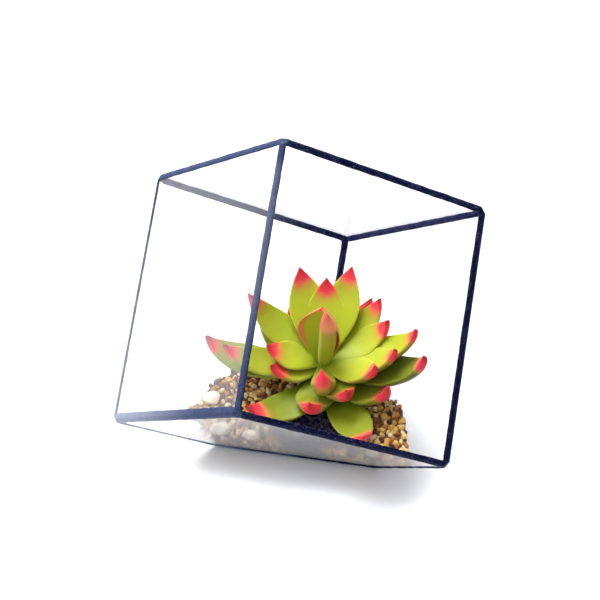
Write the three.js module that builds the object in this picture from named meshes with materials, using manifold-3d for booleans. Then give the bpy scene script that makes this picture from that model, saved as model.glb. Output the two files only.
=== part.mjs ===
// Glass plant terrarium: panes of sheet glass soldered edge to edge into a block that stands on its cut-off
// corner, with one face left open. Inside are a bed of gravel, white pebbles and a rosette succulent.
// Millimetres, +Z up. The origin is on the table under the middle of the case, and the front edge faces -Y.

import * as THREE from "three";
import { mergeVertices } from "three/addons/utils/BufferGeometryUtils.js";
import Module from "manifold-3d";

// Case
const CASE_WIDTH = 112; // the two sides that run back from the top corner
const CASE_HEIGHT = 120; // the side along the front edge
const SEAM = 2.2; // how far a soldered seam reaches from its edge over each pane
const SEAM_RIM = 3.9; // the same over the open face, whose rim is built up with more solder
const SEAM_BACK = 3.8; // the same at the back, where the solder hides the edges of the glass inside
const SEAM_TOP = 3.2;
const SEAM_SILL = 4.1;
const SEAM_LIP = 2.7;
const SEAM_FINE = 1.4;
const SEAM_FOOT = 1.8;
const BEAD_ROUND = 0.85; // radius of the bead outside, as a share of its smaller reach
const FOOT_ROUND = 0.3; // the same at the foot, which stays flat to stand on
const BEAD_INNER = 0.5; // depth of the bead where it meets a pane, as a share of its smaller reach
const BEAD_DEEP = 0.95; // the same at the back
const CORNER_BLUNT = 4.2; // the three depths at a rounded corner add up to at least this
const GLASS = 1.5;
const GLASS_INSET = 0.3; // the seams stand this proud of the glass
const CLEARANCE = 0.3;

// Gravel
const GRAVEL_LEVEL = 19.5;
const GRAVEL_CELL = 4.4; // spacing of the humps on its surface, one to a grain
const GRAVEL_JITTER = 0.6; // how far a hump strays in its cell
const GRAVEL_HUMP = 0.62; // radius of a hump, as a share of the spacing
const GRAVEL_RISE = 1.3;
const GRAVEL_STEP = 2.2; // width of a facet
const GRAVEL_SPAN = 158;
const GRAVEL_SEED = 11;
// Where the bed is heaped up: x and y are a heap's middle and reach is how far it spreads.
const GRAVEL_HEAPS = [
  { x: 52, y: -14, reach: 26, rise: 6.5 },
  { x: -42, y: -6, reach: 14, rise: 2 },
];

// Pebbles: each is pressed into the bed, and those at the lower pane lean their flat side against it. x, y
// and z are its middle, turn and lean are in degrees, and size is its share of the largest.
const PEBBLE_LENGTH = 13.5;
const PEBBLE_WIDTH = 10.5;
const PEBBLE_HEIGHT = 8.5;
const PEBBLE_SKEW = 0.5; // how far it departs from an egg's shape
const PEBBLE_PLACES = [
  { x: -40, y: -17, z: 21.4, turn: 35, lean: 0, size: 0.7 },
  { x: -32.2, y: -33.8, z: 21.6, turn: 10, lean: 30, size: 0.78 },
  { x: -16.6, y: -33.6, z: 18.8, turn: -20, lean: 56, size: 0.76 },
  { x: -45, y: -31.8, z: 17.2, turn: 60, lean: 56, size: 0.62 },
  { x: 40, y: -35.2, z: 20, turn: 0, lean: 56, size: 0.46 },
  { x: -13, y: 27, z: 21.8, turn: -50, lean: 0, size: 0.8 },
];

// Rosette: every leaf springs from its heart, at the top of a short stem
const HEART = new THREE.Vector3(8, 4.8, 32.5);
const STEM_RADIUS = 4.2;
const STEM_FOOT = 8;
const LEAF_NECK = 0.32; // width at the root, as a share of the widest, unless its whorl says otherwise
const LEAF_SHOULDER = 0.56; // where along its length a leaf is widest
const LEAF_POINT = 1.45; // how full a leaf stays beyond its shoulder, unless its whorl says otherwise
const LEAF_UPPER = 0.5; // how far the upper side bulges from the spine, as a share of half the thickness
const LEAF_UNDER = 1.35; // the same for the underside
const LEAF_CUP = 0.2; // how far the margins are lifted, as a share of half the width, unless its whorl says
const LEAF_CURL = 2.8; // how late along its length a leaf turns up
const LEAF_STEPS = 100; // short straight steps that the curved spine is worked out in
const LEAF_SIDES = 8;
const LEAF_STATIONS = [0, 0.16, 0.36, 0.56, 0.7, 0.8, 0.88, 0.95, 1];

// The whorls of leaves from the lowest to the heart. lift is the slope at the root, curl how much steeper
// the tip is, drop how far below the heart the root lies and lean how much the whorl tips to the front, in
// degrees and millimetres. Each leaf has its bearing, in degrees from +X, its length and, if it bends
// sideways, by how many degrees, all read from the photo.
const WHORLS = [
  {
    lift: 0,
    curl: 66,
    width: 18,
    thickness: 5.5,
    drop: 7,
    lean: 3,
    leaves: [
      [-127.3, 53.1, -60],
      [-56, 64.2],
      [74, 38],
      [118, 38],
    ],
  },
  {
    lift: 2,
    curl: 85,
    width: 18.5,
    thickness: 7,
    drop: 5.5,
    lean: 4,
    leaves: [
      [-87.1, 37.7],
      [-28.6, 48.6],
      [64, 44],
      [126, 42],
      [151, 46],
      [187.6, 62.2],
    ],
  },
  {
    lift: 9,
    curl: 76,
    width: 18.5,
    thickness: 7,
    drop: 2,
    lean: 7,
    leaves: [[-9.5, 64]],
  },
  {
    lift: 8,
    curl: 78,
    width: 16.5,
    thickness: 6.5,
    drop: 2.5,
    lean: 7,
    leaves: [
      [-148.6, 28.7],
      [-53.3, 36.4],
      [57, 40],
      [195.7, 52],
    ],
  },
  {
    lift: 16,
    curl: 66,
    width: 16,
    thickness: 6,
    drop: 0.5,
    lean: 8,
    leaves: [
      [-23.2, 40.4],
      [-7.3, 47.5],
      [5, 57.4],
      [24.3, 41],
      [45.8, 42.9],
      [155.9, 49.5],
      [190.8, 29.9],
    ],
  },
  {
    lift: 30,
    curl: 40,
    width: 19,
    thickness: 6.5,
    drop: 0,
    lean: 4,
    point: 1.7,
    leaves: [
      [117.3, 47],
      [95.9, 40.4],
      [76.5, 47.6],
    ],
  },
  {
    lift: 5,
    curl: 145,
    width: 11.5,
    thickness: 7.5,
    drop: 0.5,
    lean: 0,
    leaves: [[-74.7, 34.2]],
  },
  {
    lift: 72,
    curl: 50,
    width: 22,
    thickness: 4.5,
    drop: 0,
    lean: 0,
    point: 2.4,
    cup: 0.6,
    leaves: [[76, 33.6]],
  },
  {
    lift: 72,
    curl: 30,
    width: 8,
    thickness: 8,
    drop: -1,
    lean: 0,
    point: 4.5,
    cup: 0.1,
    neck: 0.8,
    leaves: [[-42, 38.6]],
  },
];

const wasm = await Module();
wasm.setup();

// A seeded stream of numbers from 0 to 1.
function seededRandom(seed) {
  let state = seed;
  return () => {
    state = (state + 0x6d2b79f5) | 0;
    let t = Math.imul(state ^ (state >>> 15), 1 | state);
    t = (t + Math.imul(t ^ (t >>> 7), 61 | t)) ^ t;
    return ((t ^ (t >>> 14)) >>> 0) / 4294967296;
  };
}

// A closed geometry as a solid that can be joined and cut.
function toSolid(geometry) {
  const bare = new THREE.BufferGeometry();
  bare.setAttribute("position", geometry.getAttribute("position").clone());
  if (geometry.index) bare.setIndex(geometry.index.clone());
  const merged = mergeVertices(bare, 1e-4);
  return new wasm.Manifold(
    new wasm.Mesh({
      numProp: 3,
      vertProperties: new Float32Array(merged.getAttribute("position").array),
      triVerts: new Uint32Array(merged.index.array),
    }),
  );
}

// The solid's surface as a geometry.
function toGeometry(solid) {
  const surface = solid.getMesh();
  const geometry = new THREE.BufferGeometry();
  geometry.setAttribute("position", new THREE.BufferAttribute(new Float32Array(surface.vertProperties), 3));
  geometry.setIndex(new THREE.BufferAttribute(new Uint32Array(surface.triVerts), 1));
  geometry.computeVertexNormals();
  return geometry;
}

// The case's own directions: each side of the block starts at the top corner. Standing on the cut, the
// block's space diagonal points down, and the front edge leans forwards.
const sides = new THREE.Vector3(CASE_WIDTH, CASE_WIDTH, CASE_HEIGHT);
const down = new THREE.Vector3(1 / sides.x, 1 / sides.y, 1 / sides.z).normalize();
const up = down.clone().negate();
const frontEdge = new THREE.Vector3(0, 0, 1);
const back = frontEdge.clone().addScaledVector(down, -frontEdge.dot(down)).normalize().negate();
const right = new THREE.Vector3().crossVectors(back, up);
const stand = new THREE.Matrix4().makeBasis(right, back, up).transpose();

// A point of the block, measured from its top corner along its three sides, in the standing frame.
function standing(u, v, w) {
  return new THREE.Vector3(u, v, w).applyMatrix4(stand);
}

// The cut takes the block's lowest corner off at the middle of its three sides.
const cutPoint = standing(sides.x, sides.y, sides.z / 2);
const plan = new THREE.Box3().setFromPoints([
  standing(sides.x, 0, 0),
  standing(0, sides.y, 0),
  standing(sides.x, sides.y, 0),
  standing(0, 0, sides.z),
  standing(sides.x, 0, sides.z),
  standing(0, sides.y, sides.z),
]);
const middle = plan.getCenter(new THREE.Vector3());
const origin = new THREE.Vector3(middle.x, middle.y, cutPoint.z);

// A flat face as the half-space that it bounds: its outward normal and how far out it lies.
function halfSpace(normal, point) {
  return { normal, offset: normal.dot(point) };
}

// One face of the block, square to side (x, y, z).
function blockFace(x, y, z, point) {
  return halfSpace(standing(x, y, z), standing(...point).sub(origin));
}

const FACES = {
  open: blockFace(-1, 0, 0, [0, 0, 0]),
  front_left: blockFace(0, -1, 0, [0, 0, 0]),
  top: blockFace(0, 0, -1, [0, 0, 0]),
  back_left: blockFace(1, 0, 0, [sides.x, 0, 0]),
  back_right: blockFace(0, 1, 0, [0, sides.y, 0]),
  lower: blockFace(0, 0, 1, [0, 0, sides.z]),
  foot: halfSpace(new THREE.Vector3(0, 0, -1), new THREE.Vector3()),
};

// Each seam: its name, the two faces that meet in it with how far it reaches over each, the faces that close
// its ends and, where it isn't the usual, how deep it is inside.
const SEAMS = [
  seam("top_left", { top: SEAM, front_left: SEAM_TOP }, ["open", "back_left"]),
  seam("top_right", { top: SEAM, open: SEAM_TOP }, ["front_left", "back_right"]),
  seam("front", { front_left: SEAM, open: SEAM }, ["top", "lower"]),
  seam("top_back_left", { top: SEAM, back_left: SEAM_BACK }, ["front_left", "back_right"], BEAD_DEEP),
  seam("top_back_right", { top: SEAM, back_right: SEAM_BACK }, ["open", "back_left"], BEAD_DEEP),
  seam("left", { front_left: SEAM, back_left: SEAM }, ["top", "lower"]),
  seam("right", { open: SEAM_RIM, back_right: SEAM }, ["top", "lower"]),
  seam("lower_left", { front_left: SEAM_SILL, lower: SEAM }, ["open", "back_left"]),
  seam("lower_right", { open: SEAM_LIP, lower: SEAM }, ["front_left", "back_right"]),
  seam("back", { back_left: SEAM_BACK, back_right: SEAM }, ["top", "foot"], BEAD_DEEP),
  seam("under_left", { back_left: SEAM_FINE, lower: SEAM }, ["front_left", "foot"]),
  seam("under_right", { back_right: SEAM_FINE, lower: SEAM }, ["open", "foot"]),
  seam("foot_front", { lower: SEAM, foot: SEAM_FOOT }, ["back_left", "back_right"]),
  seam("foot_right", { back_right: SEAM, foot: SEAM_FOOT }, ["lower", "back_left"]),
  seam("foot_left", { back_left: SEAM, foot: SEAM_FOOT }, ["back_right", "lower"]),
];

// The faces that are glazed; the open one is left free.
const PANES = ["top", "front_left", "lower", "back_left", "back_right", "foot"];

function seam(name, reaches, ends, inner = BEAD_INNER) {
  return { name, faces: Object.keys(reaches), reaches, ends, inner };
}

// A limit on a weighted sum of depths below faces: sum(weight * depth) must be at least the given amount.
function atLeast(amount, ...terms) {
  const normal = new THREE.Vector3();
  let reach = 0;
  for (const [face, weight] of terms) {
    normal.addScaledVector(FACES[face].normal, weight);
    reach += weight * FACES[face].offset;
  }
  const length = normal.length();
  return { normal: normal.divideScalar(length), offset: (reach - amount) / length };
}

// The depth below one face, or below the first of two less the second, is at most the given amount.
function atMost(amount, ...terms) {
  return atLeast(-amount, ...terms.map(([face, weight]) => [face, -weight]));
}

// Where three planes meet, or nothing where they don't.
function meeting(a, b, c) {
  const cross = new THREE.Vector3().crossVectors(b.normal, c.normal);
  const volume = a.normal.dot(cross);
  if (Math.abs(volume) < 1e-6) return null;
  return cross
    .multiplyScalar(a.offset)
    .addScaledVector(new THREE.Vector3().crossVectors(c.normal, a.normal), b.offset)
    .addScaledVector(new THREE.Vector3().crossVectors(a.normal, b.normal), c.offset)
    .divideScalar(volume);
}

// The convex body that all the half-spaces share.
function convexBody(planes) {
  const tolerance = 1e-4;
  const corners = [];
  for (let i = 0; i < planes.length; i += 1) {
    for (let j = i + 1; j < planes.length; j += 1) {
      for (let k = j + 1; k < planes.length; k += 1) {
        const point = meeting(planes[i], planes[j], planes[k]);
        if (!point) continue;
        if (planes.some((plane) => plane.normal.dot(point) > plane.offset + tolerance)) continue;
        if (corners.some((corner) => corner.distanceTo(point) < 10 * tolerance)) continue;
        corners.push(point);
      }
    }
  }
  const triangles = [];
  for (const plane of planes) {
    const rim = corners
      .map((corner, index) => ({ corner, index }))
      .filter(({ corner }) => Math.abs(plane.normal.dot(corner) - plane.offset) < 2 * tolerance);
    if (rim.length < 3) continue;
    const centre = new THREE.Vector3();
    rim.forEach(({ corner }) => centre.add(corner));
    centre.divideScalar(rim.length);
    const across = rim[0].corner.clone().sub(centre).normalize();
    const along = new THREE.Vector3().crossVectors(plane.normal, across);
    const angle = ({ corner }) => {
      const arm = corner.clone().sub(centre);
      return Math.atan2(arm.dot(along), arm.dot(across));
    };
    rim.sort((a, b) => angle(a) - angle(b));
    for (let i = 1; i < rim.length - 1; i += 1) {
      triangles.push(rim[0].index, rim[i].index, rim[i + 1].index);
    }
  }
  const geometry = new THREE.BufferGeometry();
  geometry.setAttribute(
    "position",
    new THREE.Float32BufferAttribute(
      corners.flatMap((corner) => corner.toArray()),
      3,
    ),
  );
  geometry.setIndex(triangles);
  geometry.computeVertexNormals();
  return geometry;
}

// A bead of solder along one edge, rounded outside and mitred against its neighbours at both ends.
function seamGeometry({ faces, reaches, ends, inner }) {
  const [first, second] = faces;
  const overFirst = reaches[first];
  const overSecond = reaches[second];
  const smaller = Math.min(overFirst, overSecond);
  const round = smaller * (faces.includes("foot") ? FOOT_ROUND : BEAD_ROUND);
  const edge = smaller * inner;
  const planes = [
    atLeast(0, [first, 1]),
    atLeast(0, [second, 1]),
    atMost(overSecond, [first, 1]),
    atMost(overFirst, [second, 1]),
    atMost(
      overFirst * overSecond - edge ** 2,
      [first, overFirst - edge],
      [second, overSecond - edge],
    ),
  ];
  for (const degrees of [22.5, 45, 67.5]) {
    const turn = THREE.MathUtils.degToRad(degrees);
    const nearer = Math.cos(turn);
    const further = Math.sin(turn);
    planes.push(atLeast(round * (nearer + further - 1), [first, nearer], [second, further]));
  }
  for (const end of ends) {
    for (const face of faces) {
      const mitre = FACES[end].normal.distanceTo(FACES[face].normal);
      planes.push(atLeast((mitre * CLEARANCE) / 2, [end, 1], [face, -1]));
    }
    if (![first, second, end].includes("foot")) {
      planes.push(atLeast(CORNER_BLUNT, [first, 1], [second, 1], [end, 1]));
    }
  }
  return convexBody(planes);
}

// A sheet of glass between the seams round it.
function paneGeometry(face) {
  const planes = [atLeast(GLASS_INSET, [face, 1]), atMost(GLASS_INSET + GLASS, [face, 1])];
  for (const { faces, reaches } of SEAMS) {
    if (!faces.includes(face)) continue;
    const neighbour = faces.find((other) => other !== face);
    planes.push(atLeast(reaches[face] + CLEARANCE, [neighbour, 1]));
  }
  return convexBody(planes);
}

// How much higher the heaps make the bed at a place.
function heapHeight(x, y) {
  let height = 0;
  for (const heap of GRAVEL_HEAPS) {
    const inward = Math.max(0, 1 - Math.hypot(x - heap.x, y - heap.y) / heap.reach);
    height += heap.rise * inward * inward * (3 - 2 * inward);
  }
  return height;
}

// How high the bed stands at a place, with a hump for each grain.
function bedHeight(grains) {
  const reach = GRAVEL_CELL * GRAVEL_HUMP;
  return (x, y) => {
    const nearest = grains.near(x, y);
    const hump = Math.max(0, 1 - (nearest / reach) ** 2);
    return GRAVEL_LEVEL + heapHeight(x, y) + GRAVEL_RISE * hump;
  };
}

// Grain centres, one in each square cell, each shifted at random.
function scatterGrains() {
  const random = seededRandom(GRAVEL_SEED);
  const count = Math.ceil(GRAVEL_SPAN / GRAVEL_CELL) + 2;
  const start = -0.5 * count * GRAVEL_CELL;
  const stray = () => 0.5 + GRAVEL_JITTER * (random() - 0.5);
  const cells = [];
  for (let row = 0; row < count; row += 1) {
    for (let column = 0; column < count; column += 1) {
      cells.push([start + (column + stray()) * GRAVEL_CELL, start + (row + stray()) * GRAVEL_CELL]);
    }
  }
  const near = (x, y) => {
    const column = Math.floor((x - start) / GRAVEL_CELL);
    const row = Math.floor((y - start) / GRAVEL_CELL);
    let least = Infinity;
    for (let r = Math.max(0, row - 1); r <= Math.min(count - 1, row + 1); r += 1) {
      for (let c = Math.max(0, column - 1); c <= Math.min(count - 1, column + 1); c += 1) {
        const [gx, gy] = cells[r * count + c];
        least = Math.min(least, Math.hypot(gx - x, gy - y));
      }
    }
    return least;
  };
  return { near };
}

// The block of gravel between the panes, under its uneven surface.
function gravelSolid() {
  const inner = GLASS_INSET + GLASS + CLEARANCE;
  const planes = [
    ...["foot", "lower", "back_left", "back_right"].map((face) => atLeast(inner, [face, 1])),
    atLeast(SEAM + SEAM_BACK + 2 * CLEARANCE, ["back_left", 1], ["back_right", 1]),
    halfSpace(new THREE.Vector3(0, 0, 1), new THREE.Vector3(0, 0, 2 * GRAVEL_LEVEL)),
  ];
  const filling = toSolid(convexBody(planes));
  const height = bedHeight(scatterGrains());
  const depth = 2 * GRAVEL_LEVEL;
  const cells = Math.round(GRAVEL_SPAN / GRAVEL_STEP);
  const sheet = new THREE.BoxGeometry(GRAVEL_SPAN, GRAVEL_SPAN, depth, cells, cells, 1);
  const places = sheet.getAttribute("position");
  for (let i = 0; i < places.count; i += 1) {
    const topSide = places.getZ(i) > 0;
    places.setZ(i, topSide ? height(places.getX(i), places.getY(i)) : -depth);
  }
  return filling.intersect(toSolid(sheet));
}

// A pebble: an egg, a little skewed.
function pebbleGeometry(size, extra, seed) {
  const random = seededRandom(seed);
  const skew = [0, 1, 2].map(() => PEBBLE_SKEW * (random() - 0.5));
  const stone = new THREE.IcosahedronGeometry(1, 3);
  const places = stone.getAttribute("position");
  const point = new THREE.Vector3();
  for (let i = 0; i < places.count; i += 1) {
    point.fromBufferAttribute(places, i);
    const swell = 1 + skew[0] * point.x * point.y + skew[1] * point.x + skew[2] * point.y * point.z;
    point.multiplyScalar(swell);
    point.set(
      point.x * (0.5 * PEBBLE_LENGTH * size + extra),
      point.y * (0.5 * PEBBLE_WIDTH * size + extra),
      point.z * (0.5 * PEBBLE_HEIGHT * size + extra),
    );
    places.setXYZ(i, point.x, point.y, point.z);
  }
  return stone;
}

// A pebble where it lies, or with some extra all round for the hollow that it has pressed into the gravel.
function pebbleSolid(place, index, extra) {
  const stone = pebbleGeometry(place.size, extra, index + 1);
  stone.rotateZ(THREE.MathUtils.degToRad(place.turn));
  stone.rotateX(-THREE.MathUtils.degToRad(place.lean));
  stone.translate(place.x, place.y, place.z);
  return toSolid(stone);
}

// Half the width of a leaf along its length, as a share of its widest: a narrow neck, a broad shoulder and
// a point.
function leafOutline(along, point, neck) {
  const beyond = (along - LEAF_SHOULDER) / (1 - LEAF_SHOULDER);
  if (beyond > 0) return 1 - beyond ** point;
  return neck + (1 - neck) * Math.sin((0.5 * Math.PI * along) / LEAF_SHOULDER) ** 1.4;
}

// How thick a leaf is along its length, as a share of its thickest.
function leafBody(along) {
  return 0.8 + 0.45 * along - 0.95 * along ** 4;
}

// The curved middle line of a leaf: where it is at each step, how steep and how far turned sideways.
function leafSpine(whorl, length, sway) {
  const spine = [];
  const place = new THREE.Vector3();
  for (let step = 0; step <= LEAF_STEPS; step += 1) {
    const along = step / LEAF_STEPS;
    const slope = THREE.MathUtils.degToRad(whorl.lift + whorl.curl * along ** LEAF_CURL);
    const heading = THREE.MathUtils.degToRad(sway * (along - 0.5));
    const onward = new THREE.Vector3(
      Math.cos(slope) * Math.cos(heading),
      Math.cos(slope) * Math.sin(heading),
      Math.sin(slope),
    );
    spine.push({ place: place.clone(), slope, heading });
    place.addScaledVector(onward, length / LEAF_STEPS);
  }
  return spine;
}

// One fleshy leaf, set on the heart of the rosette. Its spine curves up towards the tip, its upper side is
// hollowed and its underside is rounded.
function leafGeometry(whorl, bearing, length, sway = 0) {
  const spine = leafSpine(whorl, length, sway);
  const { point = LEAF_POINT, neck = LEAF_NECK, cup = LEAF_CUP } = whorl;
  const points = [];
  for (const along of LEAF_STATIONS.slice(0, -1)) {
    const { place, slope, heading } = spine[Math.round(along * LEAF_STEPS)];
    const half = 0.5 * whorl.width * leafOutline(along, point, neck);
    const body = 0.5 * whorl.thickness * leafBody(along);
    for (let side = 0; side < LEAF_SIDES; side += 1) {
      const turn = (2 * Math.PI * side) / LEAF_SIDES;
      const bulge = Math.sin(turn) > 0 ? LEAF_UPPER : LEAF_UNDER;
      const lifted = bulge * body * Math.sin(turn) + cup * half * Math.cos(turn) ** 2;
      const back = -lifted * Math.sin(slope);
      const across = half * Math.cos(turn);
      points.push(
        new THREE.Vector3(
          place.x + back * Math.cos(heading) - across * Math.sin(heading),
          place.y + back * Math.sin(heading) + across * Math.cos(heading),
          place.z + lifted * Math.cos(slope),
        ),
      );
    }
  }
  const rings = LEAF_STATIONS.length - 1;
  points.push(spine[LEAF_STEPS].place);
  const tip = points.length - 1;
  const triangles = [];
  for (let ring = 0; ring < rings; ring += 1) {
    for (let side = 0; side < LEAF_SIDES; side += 1) {
      const a = ring * LEAF_SIDES + side;
      const b = ring * LEAF_SIDES + ((side + 1) % LEAF_SIDES);
      if (ring === rings - 1) {
        triangles.push(a, b, tip);
      } else {
        triangles.push(a, b, a + LEAF_SIDES, b, b + LEAF_SIDES, a + LEAF_SIDES);
      }
    }
  }
  for (let side = 1; side < LEAF_SIDES - 1; side += 1) triangles.push(0, side + 1, side);
  const leaf = new THREE.BufferGeometry();
  leaf.setAttribute(
    "position",
    new THREE.Float32BufferAttribute(
      points.flatMap((point) => point.toArray()),
      3,
    ),
  );
  leaf.setIndex(triangles);
  leaf.translate(0, 0, -whorl.drop);
  leaf.rotateZ(THREE.MathUtils.degToRad(bearing));
  leaf.rotateX(THREE.MathUtils.degToRad(whorl.lean));
  leaf.translate(HEART.x, HEART.y, HEART.z);
  return leaf;
}

// Every leaf joined to the short stem that stands in the gravel.
function rosetteSolid() {
  const leaves = WHORLS.flatMap((whorl) =>
    whorl.leaves.map((leaf) => toSolid(leafGeometry(whorl, ...leaf))),
  );
  return wasm.Manifold.union([...leaves, stemSolid(0)]);
}

// The straight stem, or the plain hole that it stands in when made wider and deeper.
function stemSolid(extra) {
  const top = HEART.z + 1;
  const bottom = STEM_FOOT - extra;
  const stem = new THREE.CylinderGeometry(STEM_RADIUS + extra, STEM_RADIUS + extra, top - bottom, 20);
  stem.rotateX(Math.PI / 2);
  stem.translate(HEART.x, HEART.y, 0.5 * (top + bottom));
  return toSolid(stem);
}

const finishes = {
  solder: new THREE.MeshStandardMaterial({ color: 0x2a2d45, roughness: 0.45, metalness: 0.8 }),
  glass: new THREE.MeshStandardMaterial({
    color: 0xeef4f6,
    roughness: 0.05,
    metalness: 0,
    transparent: true,
    opacity: 0.18,
  }),
  gravel: new THREE.MeshStandardMaterial({ color: 0xa87a45, roughness: 0.9, metalness: 0 }),
  pebble: new THREE.MeshStandardMaterial({ color: 0xf2ecdf, roughness: 0.6, metalness: 0 }),
  leaf: new THREE.MeshStandardMaterial({ color: 0xa5b828, roughness: 0.5, metalness: 0 }),
};

// A mesh with its node's name and its own material.
function part(name, geometry, finish) {
  const mesh = new THREE.Mesh(geometry, finishes[finish].clone());
  mesh.name = name;
  return mesh;
}

const terrarium = new THREE.Group();

for (const bead of SEAMS) {
  terrarium.add(part(`seam_${bead.name}`, seamGeometry(bead), "solder"));
}

for (const face of PANES) {
  terrarium.add(part(`pane_${face}`, paneGeometry(face), "glass"));
}

let gravel = gravelSolid().subtract(stemSolid(CLEARANCE));
PEBBLE_PLACES.forEach((place, index) => {
  gravel = gravel.subtract(pebbleSolid(place, index, CLEARANCE));
  terrarium.add(part(`pebble_${index + 1}`, toGeometry(pebbleSolid(place, index, 0)), "pebble"));
});
terrarium.add(part("gravel_bed", toGeometry(gravel), "gravel"));
terrarium.add(part("succulent_rosette", toGeometry(rosetteSolid()), "leaf"));

export default terrarium;
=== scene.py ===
"""Glass plant terrarium: the looks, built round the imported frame.

The case is a soldered glass block that stands on its cut-off corner with its right front face open. A rosette
succulent with red leaf tips grows in brown grit, among white pebbles. Metres, +Z up, in the frame's own axes.
"""

from __future__ import annotations

import logging
import math
from dataclasses import dataclass
from enum import Enum
from typing import Any, Iterable

import bmesh
import bpy
import numpy as np
from mathutils import Matrix, Quaternion, Vector, noise

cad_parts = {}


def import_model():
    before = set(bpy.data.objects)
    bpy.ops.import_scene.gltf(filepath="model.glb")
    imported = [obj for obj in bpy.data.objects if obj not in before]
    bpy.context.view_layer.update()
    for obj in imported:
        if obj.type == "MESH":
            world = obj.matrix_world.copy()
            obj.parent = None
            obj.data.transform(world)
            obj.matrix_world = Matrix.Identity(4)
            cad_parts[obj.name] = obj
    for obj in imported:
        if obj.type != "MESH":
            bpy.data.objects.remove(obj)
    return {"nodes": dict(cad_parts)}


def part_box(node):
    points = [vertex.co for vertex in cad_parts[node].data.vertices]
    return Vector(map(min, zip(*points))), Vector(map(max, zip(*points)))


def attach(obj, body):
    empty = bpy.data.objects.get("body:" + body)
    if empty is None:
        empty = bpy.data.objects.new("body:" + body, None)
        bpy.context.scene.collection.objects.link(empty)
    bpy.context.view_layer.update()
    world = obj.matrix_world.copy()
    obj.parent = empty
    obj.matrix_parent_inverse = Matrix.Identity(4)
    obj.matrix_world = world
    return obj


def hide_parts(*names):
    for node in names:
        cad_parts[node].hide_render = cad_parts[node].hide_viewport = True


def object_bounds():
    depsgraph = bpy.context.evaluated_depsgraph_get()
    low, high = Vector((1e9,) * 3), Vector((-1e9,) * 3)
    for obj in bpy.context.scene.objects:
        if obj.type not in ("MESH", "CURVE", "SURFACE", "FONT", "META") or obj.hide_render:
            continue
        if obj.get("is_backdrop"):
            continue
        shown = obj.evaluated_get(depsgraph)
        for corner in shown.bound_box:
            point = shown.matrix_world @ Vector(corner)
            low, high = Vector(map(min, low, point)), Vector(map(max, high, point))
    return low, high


log = logging.getLogger("terrarium")

MM = 0.001
ROOT = "root"
SRGB_TOE, SRGB_SLOPE, SRGB_OFFSET, SRGB_POWER = 0.04045, 12.92, 0.055, 2.4

Colour = tuple[float, float, float]
Place = tuple[float, float, float]
Span = tuple[float, float]
Pattern = tuple[float, float]
Faces = list[tuple[int, ...]]
Socket = bpy.types.NodeSocket
Rows = np.ndarray
Piece = bpy.types.Object


class Slot(str, Enum):
    """The record's material slots."""

    SOLDER = "solder"
    GLASS = "glass"
    GRAVEL = "gravel"
    PEBBLE = "pebble"
    LEAF = "leaf"


def srgb(red: int, green: int, blue: int) -> Colour:
    """Turns a colour as seen on a screen into the linear one that shaders use.

    Args:
        red: Red, from 0 to 255.
        green: Green, from 0 to 255.
        blue: Blue, from 0 to 255.

    Returns:
        The linear colour.
    """
    shares = np.array((red, green, blue)) / 255
    curve = ((shares + SRGB_OFFSET) / (1 + SRGB_OFFSET)) ** SRGB_POWER
    return tuple(np.where(shares <= SRGB_TOE, shares / SRGB_SLOPE, curve).tolist())


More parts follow.
